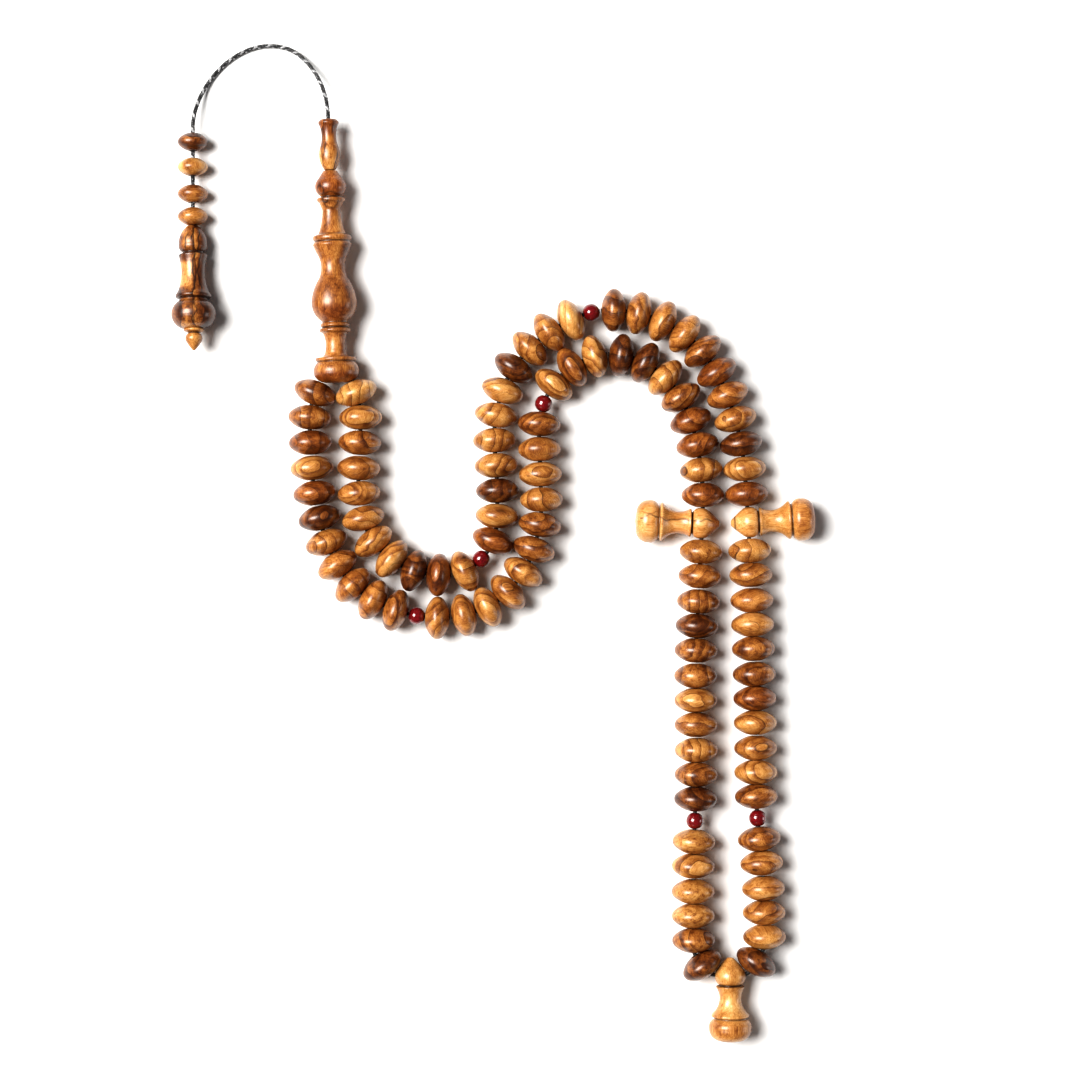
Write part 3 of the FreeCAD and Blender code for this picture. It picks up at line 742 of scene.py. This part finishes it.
def carried_frames(points):
    """The two sideways directions at each point of a line, turned no more than the line turns."""
    along = np.gradient(points, axis=0)
    along /= np.linalg.norm(along, axis=1)[:, None]
    side = np.cross(along[0], (0, 0, 1))
    sides = []
    for direction in along:
        side = side - direction * (side @ direction)
        side /= np.linalg.norm(side)
        sides.append(side)
    sides = np.array(sides)
    return sides, np.cross(along, sides)


def strand(points, spots, frames, turn, phase, over):
    """One flat yarn of the braid as a closed tube: it winds round the line and weaves in and out."""
    angle = phase + turn * 2 * math.pi * spots / BRAID_PITCH
    weave = over * np.cos(WEAVE_TURNS * 2 * math.pi * spots / BRAID_PITCH)
    lift = CORD_WIDTH * (YARN_OFFSET + YARN_WEAVE * weave)
    out = np.cos(angle)[:, None] * frames[0] + np.sin(angle)[:, None] * frames[1]
    middle = points + out * lift[:, None]
    run = np.gradient(middle, axis=0)
    run /= np.linalg.norm(run, axis=1)[:, None]
    beside = np.cross(run, out)
    corners = []
    for k in range(STRAND_SIDES):
        bearing = 2 * math.pi * k / STRAND_SIDES
        across = beside * math.cos(bearing) * CORD_WIDTH * YARN_HALF_WIDTH
        through = out * math.sin(bearing) * CORD_WIDTH * YARN_HALF_DEPTH
        corners.append(middle + across + through)
    corners = np.stack(corners, axis=1).reshape(-1, 3)
    faces = []
    for row in range(len(points) - 1):
        for k in range(STRAND_SIDES):
            first = row * STRAND_SIDES + k
            second = row * STRAND_SIDES + (k + 1) % STRAND_SIDES
            faces.append([first, second, second + STRAND_SIDES, first + STRAND_SIDES])
    last = (len(points) - 1) * STRAND_SIDES
    faces.append(list(range(STRAND_SIDES))[::-1])
    faces.append([last + k for k in range(STRAND_SIDES)])
    return corners, faces


def braided_cord(dark, bright):
    """The tail cord: eight flat yarns, one in four of them silver grey."""
    spots, points = evenly(spline_points(CORD_ROUTE), STRAND_STEPS)
    frames = carried_frames(points)
    shapes = []
    for number in range(STRANDS_EACH_WAY):
        phase = 2 * math.pi * number / STRANDS_EACH_WAY
        shapes.append(strand(points, spots, frames, 1, phase, 1))
        shapes.append(strand(points, spots, frames, -1, phase, -1))
    mesh = joined(shapes, "tail_cord_braid")
    piece = shown("tail_cord_braid", mesh, "tail", ["tail_cord"], dark)
    mesh.materials.append(bright)
    each = len(shapes[0][1])
    for number in SILVER_YARNS:
        for face in mesh.polygons[number * each : (number + 1) * each]:
            face.material_index = 1


# ---------------------------------------------------------------- the camera, straight above

CAMERA_LENS = 100
CAMERA_PLACE = (0.01155, 0.00925, 0.725)
camera = bpy.data.objects.new("camera", bpy.data.cameras.new("camera"))
camera.data.lens = CAMERA_LENS
camera.data.clip_start = 0.01
camera.location = CAMERA_PLACE
bpy.context.scene.collection.objects.link(camera)
bpy.context.scene.camera = camera


# ---------------------------------------------------------------- the pieces

BLACK_YARN = braid("black_yarn", (0.006, 0.006, 0.007), (0.34, 0.34, 0.35), 0.42)
SILVER_YARN = braid("silver_yarn", (0.36, 0.36, 0.37), (0.75, 0.75, 0.76), 0.5)
THREAD_YARN = braid("thread_yarn", (0.010, 0.007, 0.006), (0.05, 0.04, 0.035), 0.2)
BEAD_WOOD = olive_wood("olive_wood", 0.38, 0.09, 0.1, 1.0, 0.26)
PALE_WOOD = olive_wood("pale_olive_wood", 0.20, 0.035, 0.1, 0.8, 0.14)
BANDED_WOOD = olive_wood("banded_olive_wood", 0.30, 0.10, 0.5, 1.0, 0.30)
RED = red_resin()

braided_cord(BLACK_YARN, SILVER_YARN)

for strand_name, woods in (("left", LEFT_BEADS), ("right", RIGHT_BEADS)):
    for node in frame["nodes"]:
        words = node.split("_")
        if words[0] in ("bead", "beads") and words[1] == strand_name:
            first, last = int(words[2]), int(words[-1])
            lens_row(node, BEAD_OUTLINE, woods[first - 1 : last], BEAD_WOOD)
for number, wood in enumerate(("dn", "lo", "mo", "gn"), start=1):
    lens_row(f"counter_bead_{number}", COUNTER_OUTLINE, [wood], BEAD_WOOD)

for node in [name for name in frame["nodes"] if name.startswith("red_bead")]:
    shape, faces = turned(RED_OUTLINE, BALL_SEGMENTS)
    solid = solids_of(node)[0]
    solid.axes[:, SPINDLE] = spin_axis(f"{node}_spin")
    mesh = joined([(moved(shape, solid.placed(SPINDLE, TOWARDS_READER)), faces)], f"{node}_ball")
    shown(f"{node}_ball", mesh, body_of(node), [node], RED)

# Dark rings in the marker's grooves: partly burnt lines, partly painted shade.
MARKER_BURNS_AND_SHADE = ((6.6, 0.3, 0.95), (14.55, 0.3, 0.7), (6.95, 0.12, 0.4))
spindle(
    "marker_left",
    MARKER_OUTLINE,
    (-1, 0, 0),
    (0.77, 0.4, 0.35, 0.3),
    PALE_WOOD,
    9.0,
    burns_and_shade=MARKER_BURNS_AND_SHADE,
    stains=((0.0, 3.0, 0, 400, -0.2, 0.5), (9.0, 5.0, -70, 60, -0.1, 0.3)),
    seams=((12, 0.3, 1.5, 19.5, 0.6),),
)
spindle(
    "marker_right",
    MARKER_OUTLINE,
    (1, 0, 0),
    (0.79, 0.4, 0.25, 0.4),
    PALE_WOOD,
    14.0,
    # The ring at 0.9 mm, where the marker meets the next bead, is painted shade.
    burns_and_shade=(*MARKER_BURNS_AND_SHADE, (0.9, 0.3, 0.8)),
    stains=((18.5, 4.0, 0, 400, -0.12, 0.2), (20.3, 2.2, 0, 400, -0.14, 0.2)),
)
spindle(
    "marker_end",
    MARKER_OUTLINE,
    (0, -1, 0),
    (0.74, 0.9, 0.1, 0.5),
    PALE_WOOD,
    6.0,
    burns_and_shade=MARKER_BURNS_AND_SHADE,
    stains=((18.0, 4.0, 0, 400, -0.07, 0.2),),
)
spindle(
    "imam_body",
    IMAM_OUTLINE,
    (0, 1, 0),
    (0.56, 0.25, 0.35, 0.5),
    PALE_WOOD,
    8.0,
    burns_and_shade=(
        (13.2, 0.3, 0.85),
        (14.45, 0.2, 0.7),
        (33.8, 0.3, 0.8),
        (44.45, 0.25, 0.95),
        (5.0, 0.3, 0.6),
        (35.6, 0.2, 0.4),
    ),
    stains=(
        (47.2, 3.6, 0, 400, -0.13, 0.9),
        (16.5, 2.6, 0, 60, -0.14, 0.6),
        (1.2, 1.6, 0, 400, -0.16, 0.6),
        (9.0, 4.0, 70, 50, -0.15, 0.3),
        (27.0, 8.0, 75, 60, -0.16, 0.3),
        (20.0, 5.0, -80, 50, -0.12, 0.3),
    ),
    seams=((14, 0.25, 24.5, 30.0, 0.35), (-30, 0.22, 36.0, 41.5, 0.3)),
    eyes=((46.0, -42, 1.0, 0.7), (43.8, -22, 0.75, 0.8), (43.6, 3, 1.9, 0.55)),
)
spindle(
    "imam_cap",
    CAP_OUTLINE,
    (0, 1, 0),
    (0.56, 0.8, 0.45, 0.7),
    BEAD_WOOD,
    7.0,
    stains=((2.0, 4.0, 0, 120, 0.16, -0.3), (10.5, 3.0, 0, 400, -0.14, 0.4)),
    seams=((-20, 0.35, 3.5, 7.0, 0.75), (30, 0.3, 8.5, 12.0, 0.5), (-55, 0.3, 4.0, 9.0, 0.6)),
)
spindle(
    "tassel_body",
    TASSEL_OUTLINE,
    (0, -1, 0),
    (0.68, 0.9, 0.1, 0.8),
    BANDED_WOOD,
    8.0,
    burns_and_shade=((6.6, 0.35, 0.95), (17.75, 0.35, 0.9), (7.1, 0.2, 0.6), (16.9, 0.2, 0.35)),
    stains=(
        (12.5, 60.0, -82, 84, -0.54, 0.4),
        (21.0, 4.2, 52, 44, -0.36, 0.3),
        (16.6, 2.0, 62, 70, -0.44, 0.3),
        (7.4, 2.2, 60, 70, -0.44, 0.3),
        (4.2, 2.8, 70, 50, -0.34, 0.4),
    ),
    seams=(
        (-8, 0.3, 0.5, 24.5, 0.85),
        (-34, 0.3, 1.0, 24.5, 0.9),
        (22, 0.28, 2.0, 6.3, 0.8),
        (28, 0.3, 18.2, 24.0, 0.8),
    ),
)
spindle(
    "tassel_finial",
    FINIAL_OUTLINE,
    (0, -1, 0),
    (0.69, 0.5, 0.1, 0.6),
    PALE_WOOD,
    5.0,
    burns_and_shade=((3.1, 0.3, 0.8),),
)

for node, piece in frame["nodes"].items():
    if node.startswith("thread") or node == "strand_knot":
        piece.data.materials.clear()
        piece.data.materials.append(THREAD_YARN)
    elif node in ("cord_core", "tassel_knot"):
        piece.data.materials.clear()
        piece.data.materials.append(BLACK_YARN)


# ---------------------------------------------------------------- table and light

TABLE_REACH = 6.0
TABLE_TOP = -0.00002


def table():
    """A plain white table top."""
    mesh = bpy.data.meshes.new("table")
    signs = ((-1, -1), (1, -1), (1, 1), (-1, 1))
    mesh.from_pydata([(x * TABLE_REACH, y * TABLE_REACH, 0) for x, y in signs], [], [(0, 1, 2, 3)])
    top = bpy.data.objects.new("table", mesh)
    top.location = (0, 0, TABLE_TOP)
    bpy.context.scene.collection.objects.link(top)
    material, tree, shader = new_tree("table_white")
    place = add(tree, "ShaderNodeTexCoord", {}).outputs["Object"]
    soft = noise(tree, place, 30, 2.0).outputs["Fac"]
    colour = ramp(tree, soft, ((0.3, (0.86, 0.86, 0.86)), (0.7, (0.88, 0.88, 0.88))))
    tree.links.new(colour, shader.inputs["Base Color"])
    shader.inputs["Roughness"].default_value = 0.9
    mesh.materials.append(material)


def soft_box(name, place, width, power, colour):
    """A square softbox aimed at the middle of the string."""
    lamp = bpy.data.objects.new(name, bpy.data.lights.new(name, "AREA"))
    lamp.data.shape = "SQUARE"
    lamp.data.size = width
    lamp.data.energy = power
    lamp.data.color = colour
    lamp.location = place
    lamp.rotation_euler = (-Vector(place)).to_track_quat("-Z", "Y").to_euler()
    bpy.context.scene.collection.objects.link(lamp)


table()
soft_box("key", (-1.2, 0.36, 1.9), 1.25, 84, (1.0, 0.985, 0.96))
soft_box("rim", (1.2, -0.15, 0.18), 0.4, 2, (1.0, 1.0, 1.0))
world = bpy.data.worlds.new("studio")
world.use_nodes = True
world.node_tree.nodes["Background"].inputs["Color"].default_value = (0.97, 0.98, 1.0, 1)
world.node_tree.nodes["Background"].inputs["Strength"].default_value = 0.11
bpy.context.scene.world = world
bpy.context.scene.view_settings.view_transform = "Standard"
bpy.context.scene.view_settings.look = "High Contrast"
